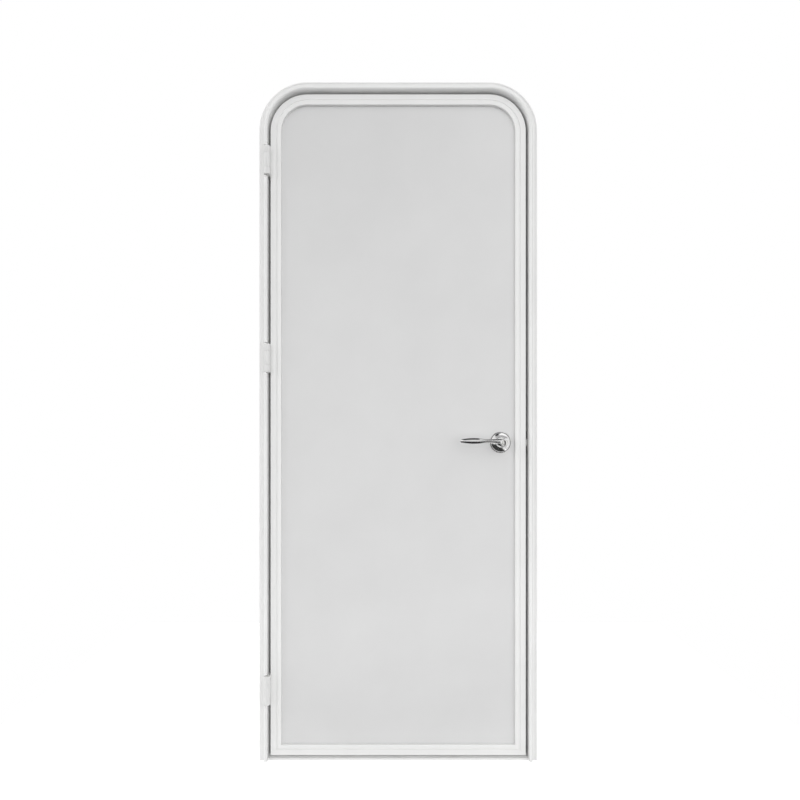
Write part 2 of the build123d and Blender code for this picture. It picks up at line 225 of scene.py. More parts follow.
# The section in millimetres: u is measured outward from the leaf's edge and v inward from the wall.
web_inside, web_outside = 6.5, 8.5
nose_side, nose_front, nose_wall = 16.5, -12, 1.6
flange_edge, flange_front, bead_front = 29.5, -2, -3.2
stop_reach, stop_front, stop_back = 8.5, 38, 40
frame_back = 52
jamb_outline = softened(
    (web_inside, nose_front, 4.9), (nose_side, nose_front, 4.9), (nose_side, flange_front, 0.8),
    (25.6, flange_front, 0.4), (26, bead_front, 0.6), (flange_edge, bead_front, 1.2),
    (flange_edge, 0, 0.4), (web_outside, 0, 0.4), (web_outside, frame_back, 0.5),
    (web_inside, frame_back, 0.5), (web_inside, stop_back, 0.5), (-stop_reach, stop_back, 0.6),
    (-stop_reach, stop_front, 0.6), (web_inside, stop_front, 0.6),
)
hollow_front = nose_front + nose_wall
hollow_low, hollow_high = web_inside + nose_wall, nose_side - nose_wall
nose_hollow = softened(
    (hollow_low, hollow_front, 3.2), (hollow_high, hollow_front, 3.2),
    (hollow_high, flange_front, 0.5), (hollow_low, flange_front, 0.5),
)
jamb = piece_of("jamb_extrusion", extruded(jamb_outline, hoop_places(0, 0), nose_hollow))
hinge_names = ("upper", "middle", "lower")
notch_gap = 1.5 * mm
cut_reach = 20 * mm
notch_side = -leaf_half - nose_side * mm
for name in hinge_names:
    pin_low, pin_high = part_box(f"{name}_hinge_pin")
    notch_low = (notch_side, -cut_reach, pin_low.z - notch_gap)
    worked(jamb, "DIFFERENCE", block(notch_low, (-leaf_half, 0, pin_high.z + notch_gap)))
strike_low, strike_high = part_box("strike_plate")
latch_place = (strike_low + strike_high) / 2
latch_hole_half = Vector((8, 6.5, 9)) * mm
latch_hole = block(latch_place - latch_hole_half, latch_place + latch_hole_half)
worked(jamb, "DIFFERENCE", latch_hole)
jamb.data.materials.append(frame_white)
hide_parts("jamb_hoop")
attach(jamb, "wall_frame")


# Jamb screws: pan head wood screws of plated steel, with a cross slot, through the web behind the stop.
# There are four in each jamb and two in the head, and they hold the frame in the wall.
def turned(profile, steps=48):
    """Worked mesh of a profile of radius and height turned about Z, closed where the radius is 0."""
    mesh = bmesh.new()
    rings = []
    for radius, height in profile:
        if radius == 0:
            rings.append([mesh.verts.new((0, 0, height))] * steps)
            continue
        ring = []
        for step in range(steps):
            angle = 2 * math.pi * step / steps
            ring.append(mesh.verts.new((radius * math.cos(angle), radius * math.sin(angle), height)))
        rings.append(ring)
    for ring, following in zip(rings, rings[1:]):
        for index in range(steps):
            corners = (ring[index - 1], ring[index], following[index], following[index - 1])
            mesh.faces.new(tuple(dict.fromkeys(corners)))
    bmesh.ops.recalc_face_normals(mesh, faces=mesh.faces)
    return mesh


def arc(centre_radius, centre_height, radius, start, end, steps=8):
    """Points of a profile on an arc from one angle to another, in degrees."""
    points = []
    for step in range(steps + 1):
        angle = math.radians(start + (end - start) * step / steps)
        run, rise = radius * math.cos(angle), radius * math.sin(angle)
        points.append((centre_radius + run, centre_height + rise))
    return points


def facing(place, direction):
    """Placing that puts a turned piece's Z along a direction, at a place."""
    return Matrix.Translation(place) @ Vector(direction).to_track_quat("Z", "Y").to_matrix().to_4x4()


def screw_head(profile, slot_radius, slot_depth):
    """Mesh of one screw head with a cross slot cut in its top, which is at height 0."""
    head = piece_of("screw_head", turned(profile, steps=28))
    slot_width = slot_radius / 3.2
    for wide, long in ((slot_width, slot_radius), (slot_radius, slot_width)):
        worked(head, "DIFFERENCE", block((-wide, -long, -slot_depth), (wide, long, slot_radius)))
    data = head.data
    bpy.data.objects.remove(head)
    return data


def fitted(name, data, placings):
    """One piece that holds a copy of a mesh at each placing."""
    mesh = bmesh.new()
    for placing in placings:
        first = len(mesh.verts)
        mesh.from_mesh(data)
        mesh.verts.ensure_lookup_table()
        bmesh.ops.transform(mesh, matrix=placing, verts=mesh.verts[first:])
    return piece_of(name, mesh)


def plated_steel(name, colour, roughness, grain):
    """Plated or stainless steel: a grain of lines a metre along each axis, stain and uneven gloss."""
    material, nodes, links, main = shader(name)
    stain = [0.86 * colour[0], 0.86 * colour[1], 0.84 * colour[2]]
    cloud = patchy(nodes, links, 90, 0, 1, detail=5)
    links.new(tinted(nodes, links, cloud, stain, colour), main.inputs["Base Color"])
    links.new(patchy(nodes, links, 240, roughness - 0.06, roughness + 0.08), main.inputs["Roughness"])
    lines = patchy(nodes, links, 1, 0, 1, stretch=grain)
    links.new(raised(nodes, links, lines, 0.008 * mm), main.inputs["Normal"])
    main.inputs["Metallic"].default_value = 1
    return material


screw_steel = plated_steel("screw_steel", (0.66, 0.66, 0.64), roughness=0.3, grain=(900, 900, 900))
pan_radius, pan_round, pan_height = 4.4 * mm, 2.2 * mm, 2.4 * mm
pan_profile = [(0, 0)] + arc(pan_radius - pan_round, -pan_round, pan_round, 90, 0)
pan_profile += [(pan_radius, -pan_height), (0, -pan_height)]
cross_radius = 1.9 * mm
pan_head = screw_head(pan_profile, cross_radius, slot_depth=1.4 * mm)
pan_rise = 2.3 * mm
pan_x = leaf_half + web_inside * mm - pan_rise
pan_z = leaf_high.z + web_inside * mm - pan_rise
screw_y = 46 * mm
jamb_screw_heights = [150 * mm, 650 * mm, 1150 * mm, 1650 * mm]
head_screw_offset = 200 * mm
placings = []
for side in (-1, 1):
    for height in jamb_screw_heights:
        placings.append(facing((side * pan_x, screw_y, height), (-side, 0, 0)))
    placings.append(facing((side * head_screw_offset, screw_y, pan_z), (0, 0, -1)))
jamb_screws = fitted("jamb_screws", pan_head, placings)
jamb_screws.data.materials.append(screw_steel)
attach(jamb_screws, "wall_frame")


# Sill: a white coated aluminium extrusion between the jambs, with an apron, a tread and an upstand.
# The tread has three ribs, and the back corners are cut away round the jamb stops.
sill_low, sill_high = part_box("sill")
sill_wall, tread_top, rib_top, upstand_top = 2, 5, 5.8, 19
tread_under = tread_top - sill_wall
sill_corners = [(0, -sill_wall, 0.5), (tread_top, -sill_wall, 1)]
for rib in (6, 14, 22):
    rib_back = rib + 2
    sill_corners += [(tread_top, rib, 0.2), (rib_top, rib, 0.4)]
    sill_corners += [(rib_top, rib_back, 0.4), (tread_top, rib_back, 0.2)]
sill_corners += [
    (tread_top, stop_front, 0.6), (upstand_top, stop_front, 0.7), (upstand_top, stop_back, 0.7),
    (tread_top, stop_back, 0.6), (tread_top, frame_back, 0.8), (0, frame_back, 0.4),
    (0, frame_back - sill_wall, 0.4), (tread_under, frame_back - sill_wall, 0.5),
    (tread_under, 0, 0.5), (0, 0, 0.4),
]
sill_places = [((sill_low.x, 0), (0, 1)), ((sill_high.x, 0), (0, 1))]
sill = piece_of("sill_extrusion", extruded(softened(*sill_corners), sill_places))
stop_x = leaf_half - stop_reach * mm
for side in (-1, 1):
    left, right = sorted((side * stop_x, side * (sill_high.x + cut_reach)))
    corner_low = (left, stop_front * mm, -cut_reach)
    corner_high = (right, frame_back * mm + cut_reach, sill_high.z + cut_reach)
    worked(sill, "DIFFERENCE", block(corner_low, corner_high))
sill.data.materials.append(frame_white)
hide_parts("sill")
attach(sill, "wall_frame")


# Seals: hollow D sections of grey rubber, stuck on the stop all round and on the sill's upstand.
# The closed leaf presses on them.
seal_width, seal_wall, seal_front = 10, 1.2, 32.3


def seal_outline(low):
    """Hollow D that starts at a place across the stop: its outline and its hollow."""
    high = low + seal_width
    outside = softened(
        (low, seal_front, 4.2), (high, seal_front, 4.2), (high, stop_front, 0.4), (low, stop_front, 0.4)
    )
    low, high = low + seal_wall, high - seal_wall
    front, back = seal_front + seal_wall, stop_front - seal_wall
    inside = softened((low, front, 2.4), (high, front, 2.4), (high, back, 0.4), (low, back, 0.4))
    return outside, inside


seal_rubber, nodes, links, main = shader("seal_rubber")
rubber_dark, rubber_dusty = (0.17, 0.17, 0.175), (0.21, 0.21, 0.215)
dust = patchy(nodes, links, 35, 0, 1, detail=6)
links.new(tinted(nodes, links, dust, rubber_dark, rubber_dusty), main.inputs["Base Color"])
links.new(patchy(nodes, links, 120, 0.55, 0.75), main.inputs["Roughness"])
links.new(raised(nodes, links, patchy(nodes, links, 1500, 0, 1), 0.02 * mm), main.inputs["Normal"])
main.inputs["Specular IOR Level"].default_value = 0.35

outside, inside = seal_outline(-7.5)
seal_foot = sill_high.z - (upstand_top - tread_top) * mm
jamb_seal = piece_of("jamb_seal_rubber", extruded(outside, hoop_places(seal_foot, 0), inside))
outside, inside = seal_outline(0)
seal_low, seal_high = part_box("sill_seal")
seal_places = [((seal_low.x, seal_high.z), (0, -1)), ((seal_high.x, seal_high.z), (0, -1))]
sill_seal = piece_of("sill_seal_rubber", extruded(outside, seal_places, inside))
for seal, node in ((jamb_seal, "jamb_seal"), (sill_seal, "sill_seal")):
    seal.data.materials.append(seal_rubber)
    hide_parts(node)
    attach(seal, "wall_frame")


# Strike plate: a pressed plate of brushed stainless steel with round corners.
# It lies on the web of the right jamb, holed for the latch bolt, and is held by two flush screws.
def dressed(material, *names):
    """Give solids a material."""
    for name in names:
        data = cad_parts[name].data
        data.materials.clear()
        data.materials.append(material)


def edge_softened(width, *names):
    """Round the sharp edges of solids by a small width."""
    for name in names:
        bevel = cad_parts[name].modifiers.new("soft_edges", "BEVEL")
        bevel.width = width
        bevel.segments = 2
        bevel.limit_method = "ANGLE"
        bevel.angle_limit = smooth_below


strike_steel = plated_steel("strike_steel", (0.7, 0.7, 0.69), roughness=0.28, grain=(300, 1500, 12))
dressed(strike_steel, "strike_plate")
edge_softened(0.25 * mm, "strike_plate")
sunk_profile = [(0, 0), (3.4 * mm, 0), (3.6 * mm, -0.15 * mm), (1.8 * mm, -1.8 * mm), (0, -1.8 * mm)]
sunk_head = screw_head(sunk_profile, cross_radius, slot_depth=1.1 * mm)
flush = 0.12 * mm
strike_screw_offset = 23 * mm
placings = []
for side in (-1, 1):
    place = (strike_low.x - flush, latch_place.y, latch_place.z + side * strike_screw_offset)
    placings.append(facing(place, (-1, 0, 0)))
strike_screws = fitted("strike_screws", sunk_head, placings)
strike_screws.data.materials.append(screw_steel)
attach(strike_screws, "wall_frame")


# Leaf edge frame: one white aluminium extrusion with a tube, a flat band, a groove and a raised bead.
# It is bent round the top corners and mitred at the foot to a straight rail of the same section.
tube_wall, band_front, edge_back = 2, 2, 32
band_edge, groove_floor, tube_side = -14.6, 3, -14
bead_outside, bead_inside, bead_wall, bead_back = -17.5, -29, 1.6, 8
lip_edge, lip_front = -27, 26
tube_front, tube_back = band_front + tube_wall, edge_back - tube_wall
bead_right, bead_left = bead_outside - bead_wall, bead_inside + bead_wall
edge_outline = softened(
    (0, band_front, 0.5), (band_edge, band_front, 0.3), (band_edge, groove_floor, 0.2),
    (bead_outside, groove_floor, 0.2), (bead_outside, 0, 2), (bead_inside, 0, 1.4),
    (bead_inside, bead_back, 0.3), (bead_left, bead_back, 0.3), (bead_left, bead_wall, 1),
    (bead_right, bead_wall, 1), (bead_right, bead_back, 0.3), (bead_outside, bead_back, 0.3),
    (bead_outside, tube_front, 0.3), (tube_side, tube_front, 0.3), (tube_side, tube_back, 0.3),
    (lip_edge + tube_wall, tube_back, 0.3), (lip_edge + tube_wall, lip_front, 0.3),
    (lip_edge, lip_front, 0.3), (lip_edge, edge_back, 0.9), (0, edge_back, 1.2),
)
hollow_low, hollow_high = tube_side + tube_wall, -tube_wall
tube_hollow = softened(
    (hollow_low, tube_front, 0.5), (hollow_high, tube_front, 0.5),
    (hollow_high, tube_back, 0.5), (hollow_low, tube_back, 0.5),
)
hairline = 0.08 * mm
edge_places = hoop_places(leaf_low.z + hairline, -1)
edge = piece_of("leaf_edge_extrusion", extruded(edge_outline, edge_places, tube_hollow))
rail_end = leaf_half - hairline
rail_places = [((-rail_end, leaf_low.z), (-1, -1)), ((rail_end, leaf_low.z), (1, -1))]
rail = piece_of("leaf_foot_extrusion", extruded(edge_outline, rail_places, tube_hollow))
face_low, face_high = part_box("latch_faceplate")
face_middle = (face_low + face_high) / 2
face_half = (face_high - face_low) / 2 / mm
face_corner = 3
window = softened(
    (-face_half.z, -face_half.y, face_corner), (face_half.z, -face_half.y, face_corner),
    (face_half.z, face_half.y, face_corner), (-face_half.z, face_half.y, face_corner),
)
window_ends = [((x, face_middle.z), (0, 1)) for x in (face_low.x, face_high.x + mm)]
window_mesh = extruded(window, window_ends)
bmesh.ops.translate(window_mesh, vec=(0, face_middle.y, 0), verts=window_mesh.verts)
worked(edge, "DIFFERENCE", window_mesh)
for bar, node in ((edge, "leaf_edge_frame"), (rail, "leaf_bottom_rail")):
    bar.data.materials.append(frame_white)
    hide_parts(node)
    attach(bar, "leaf")


# Sandwich panel: two smooth white coated aluminium skins bonded to a rigid foam board.
# The edges of the skins sit under the bead outside and under the rear lip inside.
skin_white = white_coat("skin_white", (0.7, 0.7, 0.7), gloss=0.34, peel_lumps=180, peel_depth=0.02 * mm)
dressed(skin_white, "outer_skin", "inner_skin")

foam_blue, nodes, links, main = shader("foam_blue")
cells = nodes.new("ShaderNodeTexVoronoi")
foam_cells = 1400
cells.inputs["Scale"].default_value = foam_cells
place = nodes.new("ShaderNodeTexCoord")
links.new(place.outputs["Object"], cells.inputs["Vector"])
foam_deep, foam_pale = (0.76, 0.8, 0.86), (0.84, 0.87, 0.9)
cloud = patchy(nodes, links, 60, 0, 1)
links.new(tinted(nodes, links, cloud, foam_deep, foam_pale), main.inputs["Base Color"])
links.new(raised(nodes, links, cells.outputs["Distance"], 0.3 * mm), main.inputs["Normal"])
main.inputs["Roughness"].default_value = 0.85
dressed(foam_blue, "foam_core")


# Hinges: white coated cast aluminium halves on a stainless pin, three down the left side.
# The jamb half has two knuckles and the leaf half one, and each plate is held by flush screws.
hinge_white = white_coat(
    "hinge_white", (0.75, 0.75, 0.745), gloss=0.4, peel_lumps=500, peel_depth=0.04 * mm
)
pin_steel = plated_steel("pin_steel", (0.78, 0.78, 0.77), roughness=0.25, grain=(1200, 1200, 60))
barrel_radius = 9 * mm
barrel_gap = 0.6 * mm
bore_radius = 4.05 * mm
pin_radius = 4 * mm
pin_round = 1.8 * mm
middle_knuckle_half = 19 * mm
slit = 0.3 * mm
end_round = 0.9 * mm
seam_round = 0.2 * mm
plate_thickness = 2.5 * mm
plate_corner = 4
hinge_screw_y = 15 * mm
hinge_screw_spacing = 26 * mm


def knuckle(place, low, high, low_round, high_round):
    """Worked mesh of a hinge knuckle with its two rims rounded, open for the pin."""
    profile = [(bore_radius, low)]
    profile += arc(barrel_radius - low_round, low + low_round, low_round, -90, 0, steps=5)
    profile += arc(barrel_radius - high_round, high - high_round, high_round, 0, 90, steps=5)
    profile += [(bore_radius, high), (bore_radius, low)]
    mesh = turned(profile, steps=56)
    bmesh.ops.remove_doubles(mesh, verts=mesh.verts, dist=0.001 * mm)
    bmesh.ops.translate(mesh, vec=(place.x, place.y, 0), verts=mesh.verts)
    return mesh


def hinge_plate(x_low, x_high, low, high, tabs, y_start, y_tab, y_end):
    """Worked mesh of a hinge plate with round back corners and tabs forward to its knuckles."""
    corners = [(high, y_end, plate_corner), (low, y_end, plate_corner), (low, y_start, 0)]
    for bottom, top in tabs:
        corners += [(bottom, y_start, 0), (bottom, y_tab, 0), (top, y_tab, 0), (top, y_start, 0)]
    corners.append((high, y_start, 0))
    corners = [corner for index, corner in enumerate(corners) if corner[:2] != corners[index - 1][:2]]
    outline = softened(*[(z / mm, y / mm, radius) for z, y, radius in corners])
    return extruded(outline, [((x_low, 0), (0, 1)), ((x_high, 0), (0, 1))])


for name in hinge_names:
    pin_low, pin_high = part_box(f"{name}_hinge_pin")
    jamb_plate_low, jamb_plate_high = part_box(f"{name}_hinge_jamb_half")
    axis = (pin_low + pin_high) / 2
    low, high = jamb_plate_low.z, jamb_plate_high.z
    middle_low, middle_high = axis.z - middle_knuckle_half, axis.z + middle_knuckle_half
    plate_back = jamb_plate_high.y
    plate_front = axis.y + barrel_radius + barrel_gap
    tab_end = axis.y + (bore_radius + barrel_radius) / 2
    jamb_face = axis.x + plate_thickness
    leaf_face = -leaf_half - plate_thickness

    jamb_tabs = [(low, middle_low - slit), (middle_high + slit, high)]
    jamb_half = piece_of(f"{name}_hinge_on_jamb", hinge_plate(
        axis.x, jamb_face, low, high, jamb_tabs, plate_front, tab_end, plate_back,
    ))
    worked(jamb_half, "UNION", knuckle(axis, low, middle_low - slit, end_round, seam_round))
    worked(jamb_half, "UNION", knuckle(axis, middle_high + slit, high, seam_round, end_round))
    leaf_tabs = [(middle_low, middle_high)]
    leaf_half_piece = piece_of(f"{name}_hinge_on_leaf", hinge_plate(
        leaf_face, -leaf_half, low, high, leaf_tabs, plate_front, tab_end, plate_back,
    ))
    worked(leaf_half_piece, "UNION", knuckle(axis, middle_low, middle_high, seam_round, seam_round))
    for half, side, body in ((jamb_half, "jamb", "wall_frame"), (leaf_half_piece, "leaf", "leaf")):
        half.data.materials.append(hinge_white)
        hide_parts(f"{name}_hinge_{side}_half")
        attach(half, body)

    profile = [(0, pin_low.z)]
    profile += arc(pin_radius - pin_round, pin_low.z + pin_round, pin_round, -90, 0, steps=6)
    profile += arc(pin_radius - pin_round, pin_high.z - pin_round, pin_round, 0, 90, steps=6)
    profile.append((0, pin_high.z))
    pin_mesh = turned(profile, steps=40)
    bmesh.ops.translate(pin_mesh, vec=(axis.x, axis.y, 0), verts=pin_mesh.verts)
    pin = piece_of(f"{name}_hinge_pin_turned", pin_mesh)
    pin.data.materials.append(pin_steel)
    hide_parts(f"{name}_hinge_pin")
    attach(pin, "wall_frame")

    screwed = (("jamb", jamb_face, 1, "wall_frame"), ("leaf", leaf_face, -1, "leaf"))
    for side, face, out, body in screwed:
        placings = []
        for step in (-1, 0, 1):
            place = (face + out * flush, hinge_screw_y, axis.z + step * hinge_screw_spacing)
            placings.append(facing(place, (out, 0, 0)))
        screws = fitted(f"{name}_hinge_{side}_screws", sunk_head, placings)
        screws.data.materials.append(screw_steel)
        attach(screws, body)


# Roses: domed plates of bright plated zinc over the bore, one on each skin.
# The inner one is drawn tight by two screws that go through the leaf.
def bright_plate(name, colour, roughness):
    """Bright plating on a zinc casting: a soft ripple, a faint haze and painted shade that darkens the
    creases.
    """
    material, nodes, links, main = shader(name)
    warm = [0.95 * colour[0], 0.945 * colour[1], 0.93 * colour[2]]
    cloud = patchy(nodes, links, 70, 0, 1, detail=4)
    clean = tinted(nodes, links, cloud, warm, colour)
    # Painted shade: ambient occlusion darks the colour towards near black in creases and grooves.
    crease = nodes.new("ShaderNodeAmbientOcclusion")
    crease.inputs["Distance"].default_value = 1.6 * mm
    crease.only_local = True
    crease.samples = 8
    open_share = nodes.new("ShaderNodeMapRange")
    open_share.inputs["From Min"].default_value = 0.45
    open_share.inputs["From Max"].default_value = 0.8
    links.new(crease.outputs["AO"], open_share.inputs["Value"])
    crease_shade = nodes.new("ShaderNodeMix")
    crease_shade.data_type = "RGBA"
    crease_shade.inputs[6].default_value = (0.07, 0.07, 0.07, 1)
    links.new(open_share.outputs["Result"], crease_shade.inputs[0])
    links.new(clean, crease_shade.inputs[7])
    links.new(crease_shade.outputs[2], main.inputs["Base Color"])
    haze = patchy(nodes, links, 160, roughness - 0.03, roughness + 0.04, detail=5)
    links.new(haze, main.inputs["Roughness"])
    ripple = patchy(nodes, links, 220, 0, 1, detail=1)
    links.new(raised(nodes, links, ripple, 0.008 * mm), main.inputs["Normal"])
    main.inputs["Metallic"].default_value = 1
    return material


lock_bright = bright_plate("lock_bright", (0.82, 0.82, 0.825), 0.1)
outer_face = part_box("outer_skin")[0].y
inner_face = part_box("inner_skin")[1].y
rose_low, rose_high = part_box("outer_rose")
lock_x = (rose_low.x + rose_high.x) / 2
lock_z = (rose_low.z + rose_high.z) / 2
quarter_turn = Matrix.Rotation(math.radians(90), 4, "X")
outer_lock = Matrix.Translation((lock_x, outer_face, lock_z)) @ quarter_turn
across = Matrix.Translation((0, outer_face + inner_face, 0)) @ Matrix.Diagonal((1, -1, 1, 1))

rose_radius, rose_height, rose_bore = 29 * mm, 10 * mm, 9.15 * mm
rim_height, rim_round, collar_radius = 2.4 * mm, 0.8 * mm, 14 * mm
dome_foot, foot_pull = Vector((26.6, 1.6)) * mm, Vector((26.6, 6.6)) * mm
dome_top, top_pull = Vector((14.6, 9.7)) * mm, Vector((24.5, 8)) * mm
dome_steps = 20
rose_profile = [(rose_bore, 0), (rose_radius, 0)]
rose_profile += arc(rose_radius - rim_round, rim_height - rim_round, rim_round, 0, 90, steps=5)
rose_profile += [(27.7 * mm, rim_height), (27.3 * mm, 1.2 * mm), (26.8 * mm, 1.2 * mm)]
for step in range(dome_steps + 1):
    share = step / dome_steps
    rest = 1 - share
    near = rest**3 * dome_foot + 3 * rest**2 * share * foot_pull
    far = 3 * rest * share**2 * top_pull + share**3 * dome_top
    rose_profile.append(tuple(near + far))
rose_profile.append((14.2 * mm, 9.5 * mm))
rose_profile += arc(collar_radius - rim_round, rose_height - rim_round, rim_round, 0, 90, steps=5)
rose_profile += [(rose_bore, rose_height), (rose_bore, 0)]
roses = []
for name, node, placing in (
    ("outer_rose_dome", "outer_rose", outer_lock),
    ("inner_rose_dome", "inner_rose", across @ outer_lock),
):
    mesh = turned(rose_profile, steps=96)
    bmesh.ops.remove_doubles(mesh, verts=mesh.verts, dist=0.001 * mm)
    bmesh.ops.transform(mesh, matrix=placing, verts=mesh.verts)
    bmesh.ops.recalc_face_normals(mesh, faces=mesh.faces)
    rose = piece_of(name, mesh)
    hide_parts(node)
    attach(rose, "leaf")
    roses.append(rose)

seat_y = inner_face + 8.4 * mm
seat_radius, seat_depth = 4.4 * mm, 3 * mm
seat_profile = [(0, 0), (seat_radius, 0), (seat_radius, seat_depth), (0, seat_depth)]
oval_height = 1.3
oval_profile = [(0, 0), (1.6, -0.1), (3, -0.5), (4, -1.2), (4, -oval_height), (0, -oval_height)]
oval_profile = [(radius * mm, height * mm) for radius, height in oval_profile]
oval_head = screw_head(oval_profile, cross_radius, slot_depth=mm)
oval_rise = Matrix.Translation((0, 0, oval_height * mm))
rose_screw_offset = 20 * mm
placings = []
for side in (-1, 1):
    placing = facing((lock_x, seat_y, lock_z + side * rose_screw_offset), (0, 1, 0))
    seat = turned(seat_profile, steps=40)
    bmesh.ops.transform(seat, matrix=placing, verts=seat.verts)
    worked(roses[1], "DIFFERENCE", seat)
    placings.append(placing @ oval_rise)
for rose in roses:
    rose.data.materials.clear()
    rose.data.materials.append(lock_bright)
through_screws = fitted("rose_screws", oval_head, placings)
through_screws.data.materials.append(lock_bright)
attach(through_screws, "leaf")


# Levers: bright plated zinc castings, a round hub with a leaf-shaped blade that leans back to the leaf.
# The outer hub holds the key plug, the inner one the turn button, and a square spindle joins the two.
lever_tilt = math.radians(4.5)
# Along the blade, in millimetres: a distance from the lock axis and the half height there.
lever_stations = [(3, 6.4), (44, 4.7), (71, 8), (80, 8.2), (111.5, 5)]
lever_reach = 115
lever_half_thickness = 3.8
lever_thins_from, lever_thins_over = 100, 15.2
lever_rise = 4.7
lever_out = 59
# Powers by which height and thickness fall to the tip, and the least share that is left.
tip_fall, thin_fall = 1.9, 2.6
thinnest = 0.02
hub_radius, hub_face_radius = 10.7 * mm, 11.5 * mm
hub_back, hub_face = 10.6 * mm, 70 * mm
hub_back_round, hub_face_round = 0.8 * mm, 1.7 * mm
spigot_radius, spigot_back = 9 * mm, 1.5 * mm
spindle_half, spindle_depth = 4 * mm, 14 * mm
plug_seat = (6.85 * mm, 22.2 * mm)
button_seat = (6.5 * mm, 6 * mm)


def eased(near, far, share):
    """Value part of the way between two values, level at both."""
    return near + (far - near) * share**2 * (3 - 2 * share)


def lever_half_height(distance):
    """Half the height of the lever at a distance from the lock axis, in millimetres."""
    for near, far in zip(lever_stations, lever_stations[1:]):
        if distance <= far[0]:
            share = (distance - near[0]) / (far[0] - near[0])
            if far == lever_stations[-1]:
                return near[1] + (far[1] - near[1]) * share**tip_fall
            return eased(near[1], far[1], share)
    end, end_half = lever_stations[-1]
    return end_half * math.sqrt(max(0, 1 - ((distance - end) / (lever_reach - end)) ** 2))


def lever_blade():
    """Worked mesh of the lever's bar, along its own length from the lock axis."""
    mesh = bmesh.new()
    around, along = 40, 90
    start, end = lever_stations[0][0], lever_stations[-1][0]
    distances = [start + (end - start) * step / along for step in range(along + 1)]
    for turn in range(10, 90, 10):
        distances.append(end + (lever_reach - end) * math.sin(math.radians(turn)))
    rings = []
    for distance in distances:
        half_height = lever_half_height(distance)
        thinned = max(0, distance - lever_thins_from) / lever_thins_over
        half_thickness = lever_half_thickness * math.sqrt(max(thinnest, 1 - thinned**thin_fall))
        ring = []
        for step in range(around):
            angle = 2 * math.pi * step / around
            up, out = half_height * math.cos(angle), half_thickness * math.sin(angle)
            ring.append(mesh.verts.new((-distance * mm, up * mm, out * mm)))
        rings.append(ring)
    for ring, following in zip(rings, rings[1:]):
        for index in range(around):
            mesh.faces.new((ring[index - 1], ring[index], following[index], following[index - 1]))
    mesh.faces.new(rings[0])
    mesh.faces.new(rings[-1])
    root = Matrix.Translation((0, lever_rise * mm, lever_out * mm))
    lean = Matrix.Rotation(-lever_tilt, 4, "Y")
    bmesh.ops.transform(mesh, matrix=root @ lean, verts=mesh.verts)
    bmesh.ops.recalc_face_normals(mesh, faces=mesh.faces)
    return mesh


def lever_casting(name, placing, seat_radius, seat_depth):
    """Lever as one casting: hub and blade melted together, then the hub's seat cut in its face."""
    hub_profile = [(0, spigot_back), (spigot_radius, spigot_back), (spigot_radius, hub_back)]
    back_centre = (hub_radius - hub_back_round, hub_back + hub_back_round)
    hub_profile += arc(*back_centre, hub_back_round, -90, 0, steps=4)
    face_centre = (hub_face_radius - hub_face_round, hub_face - hub_face_round)
    hub_profile += arc(*face_centre, hub_face_round, 0, 90, steps=6)
    hub_profile.append((0, hub_face))
    casting = piece_of(name, turned(hub_profile, steps=64))
    worked(casting, "UNION", lever_blade())
    melt = casting.modifiers.new("melt", "REMESH")
    melt.mode = "VOXEL"
    melt.voxel_size = 0.55 * mm
    flow = casting.modifiers.new("flow", "SMOOTH")
    flow.factor = 0.5
    flow.iterations = 6
    baked(casting)
    seat_floor = hub_face - seat_depth
    flare = 0.9 * mm
    rim = seat_radius + flare
    clear = hub_face + 2 * mm
    seat_profile = [(0, seat_floor), (seat_radius, seat_floor), (seat_radius, hub_face - flare)]
    seat_profile += [(rim, hub_face), (rim, clear), (0, clear)]
    worked(casting, "DIFFERENCE", turned(seat_profile, steps=64))
    spindle_hole = block((-spindle_half, -spindle_half, 0), (spindle_half, spindle_half, spindle_depth))
    worked(casting, "DIFFERENCE", spindle_hole)
    casting.data.transform(placing)
    if placing.determinant() < 0:
        casting.data.flip_normals()
    casting.data.materials.clear()
    casting.data.materials.append(lock_bright)
    return casting


outer_lever = lever_casting("outer_lever_casting", outer_lock, *plug_seat)
inner_lever = lever_casting("inner_lever_casting", across @ outer_lock, *button_seat)
for lever, node in ((outer_lever, "outer_lever"), (inner_lever, "inner_lever")):
    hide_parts(node)
    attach(lever, "lever_set")


# Spindle, latch case, faceplate and bolt: zinc-plated steel inside the leaf and in its edge.
# The faceplate lies flush in the edge and is held by two screws.
latch_steel = plated_steel("latch_steel", (0.68, 0.68, 0.665), roughness=0.32, grain=(900, 900, 40))
dressed(latch_steel, "spindle", "latch_case", "latch_faceplate", "latch_bolt")
edge_softened(0.2 * mm, "latch_faceplate", "latch_bolt")
face_screw_offset = 21 * mm
placings = []
for side in (-1, 1):
    place = (face_high.x + flush, face_middle.y, face_middle.z + side * face_screw_offset)
    placings.append(facing(place, (1, 0, 0)))
face_screws = fitted("faceplate_screws", sunk_head, placings)
face_screws.data.materials.append(screw_steel)
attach(face_screws, "leaf")


# Key plug: a turned and brushed steel plug with a stepped keyway, which turns in the outer hub.
# Turn button: a bright plated knob in the inner hub, which locks the latch from inside by hand.
plug_brushed = plated_steel("plug_brushed", (0.86, 0.86, 0.85), roughness=0.24, grain=(1500, 30, 1500))
plug_low, plug_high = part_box("key_plug")
plug_back = outer_face - plug_high.y
plug_front = outer_face - plug_low.y
plug_radius = (plug_high.x - plug_low.x) / 2
plug_round = 0.7 * mm
plug_rim = arc(plug_radius - plug_round, plug_front - plug_round, plug_round, 0, 90, steps=5)
plug_profile = [(0, plug_back), (plug_radius, plug_back)] + plug_rim + [(0, plug_front)]
plug = piece_of("key_plug_turned", turned(plug_profile, steps=64))
keyway_floor = plug_front - 9 * mm
keyway_steps = ((-1.9, 1.2, -5.4, -1.4), (-1.2, 1.9, -1.8, 1.6), (-1.9, 1.3, 1.2, 5.4))
for left, right, low, high in keyway_steps:
    keyway = block((left * mm, low * mm, keyway_floor), (right * mm, high * mm, plug_front + mm))
    worked(plug, "DIFFERENCE", keyway)
